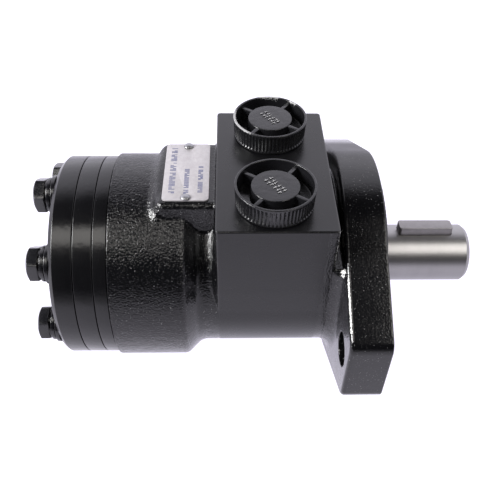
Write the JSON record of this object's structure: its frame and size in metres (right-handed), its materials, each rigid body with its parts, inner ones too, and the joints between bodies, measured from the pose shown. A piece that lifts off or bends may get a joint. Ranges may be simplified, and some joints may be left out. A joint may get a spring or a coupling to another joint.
{
  "type": "hydraulic motor",
  "caption": "Gerotor hydraulic orbit motor with a two-bolt oval flange, keyed straight shaft, plugged side ports and a bolted rear gear stack.",
  "frame": {"origin": "on the shaft axis, in the plane of the flange's mounting face", "axes": "+X along the shaft, from the rear cover towards the shaft's free end; +Z out of the port face; +Y along the line between the two flange holes"},
  "size_m": [0.183, 0.1306, 0.1039],
  "materials": {
    "cast_paint": "gloss black paint over a cast, slightly pitted skin",
    "smooth_paint": "gloss black paint over a turned surface",
    "black_plastic": "semi-matte moulded polyethylene",
    "black_rubber": "matt nitrile rubber",
    "black_steel": "black oxide under thin paint",
    "ground_steel": "ground, bare",
    "key_steel": "drawn bar, bare",
    "gear_steel": "ground and hardened, oiled",
    "washer_aluminium": "plain",
    "plate_aluminium": "satin, with printed blue marks",
    "rivet_steel": "bright"
  },
  "bodies": {
    "housing": {"housing": "cast_paint", "spacer_plate": "smooth_paint", "gerotor_ring": "smooth_paint", "rear_cover": "smooth_paint", "housing_seal": "black_rubber", "plate_seal": "black_rubber", "cover_seal": "black_rubber", "thrust_race_front": "gear_steel", "backup_ring": "gear_steel", "shaft_seal": "black_rubber", "retaining_ring": "black_steel", "dust_seal": "black_rubber", "cover_screw_1": "black_steel", "lock_washer_1": "black_steel", "flat_washer_1": "black_steel", "cover_screw_2": "black_steel", "lock_washer_2": "black_steel", "flat_washer_2": "black_steel", "cover_screw_3": "black_steel", "lock_washer_3": "black_steel", "flat_washer_3": "black_steel", "cover_screw_4": "black_steel", "lock_washer_4": "black_steel", "flat_washer_4": "black_steel", "cover_screw_5": "black_steel", "lock_washer_5": "black_steel", "flat_washer_5": "black_steel", "cover_screw_6": "black_steel", "lock_washer_6": "black_steel", "flat_washer_6": "black_steel", "cover_screw_7": "black_steel", "lock_washer_7": "black_steel", "flat_washer_7": "black_steel", "drain_washer": "washer_aluminium", "drain_plug": "black_steel", "name_plate": "plate_aluminium", "rivet_1": "rivet_steel", "rivet_2": "rivet_steel"},
    "output_shaft": {"output_shaft": "ground_steel", "drive_key": "key_steel", "thrust_race_rear": "gear_steel"},
    "needle_cage": {"needle_cage": "gear_steel"},
    "drive_spacer": {"drive_spacer": "gear_steel"},
    "rotor": {"rotor": "gear_steel"},
    "cardan_shaft": {"cardan_shaft": "gear_steel"},
    "port_plug_a": {"port_plug_a": "black_plastic"},
    "port_plug_b": {"port_plug_b": "black_plastic"}
  },
  "joints": [
    {"name": "output_spin", "type": "hinge", "parent": "housing", "child": "output_shaft", "pos_m": [0, 0, 0], "axis": [1, 0, 0], "continuous": true},
    {"name": "needle_spin", "type": "hinge", "parent": "housing", "child": "needle_cage", "pos_m": [-0.0222, 0, 0], "axis": [1, 0, 0], "continuous": true},
    {"name": "orbit", "type": "hinge", "parent": "housing", "child": "drive_spacer", "pos_m": [-0.1218, 0, 0], "axis": [1, 0, 0], "continuous": true},
    {"name": "rotor_spin", "type": "hinge", "parent": "drive_spacer", "child": "rotor", "pos_m": [-0.1161, 0, 0.0026], "axis": [1, 0, 0], "continuous": true},
    {"name": "cardan_spin", "type": "hinge", "parent": "drive_spacer", "child": "cardan_shaft", "pos_m": [-0.066, 0, 0], "axis": [0.9987, 0, -0.0519], "continuous": true},
    {"name": "plug_a_pull", "type": "slide", "parent": "housing", "child": "port_plug_a", "axis": [0, 0, 1], "range_m": [0, 0.03]},
    {"name": "plug_b_pull", "type": "slide", "parent": "housing", "child": "port_plug_b", "axis": [0, 0, 1], "range_m": [0, 0.03]}
  ],
  "couplings": [
    {"joint": "needle_spin", "follows": "output_spin", "ratio": 0.5},
    {"joint": "orbit", "follows": "output_spin", "ratio": -6},
    {"joint": "rotor_spin", "follows": "output_spin", "ratio": 7},
    {"joint": "cardan_spin", "follows": "output_spin", "ratio": 7}
  ]
}
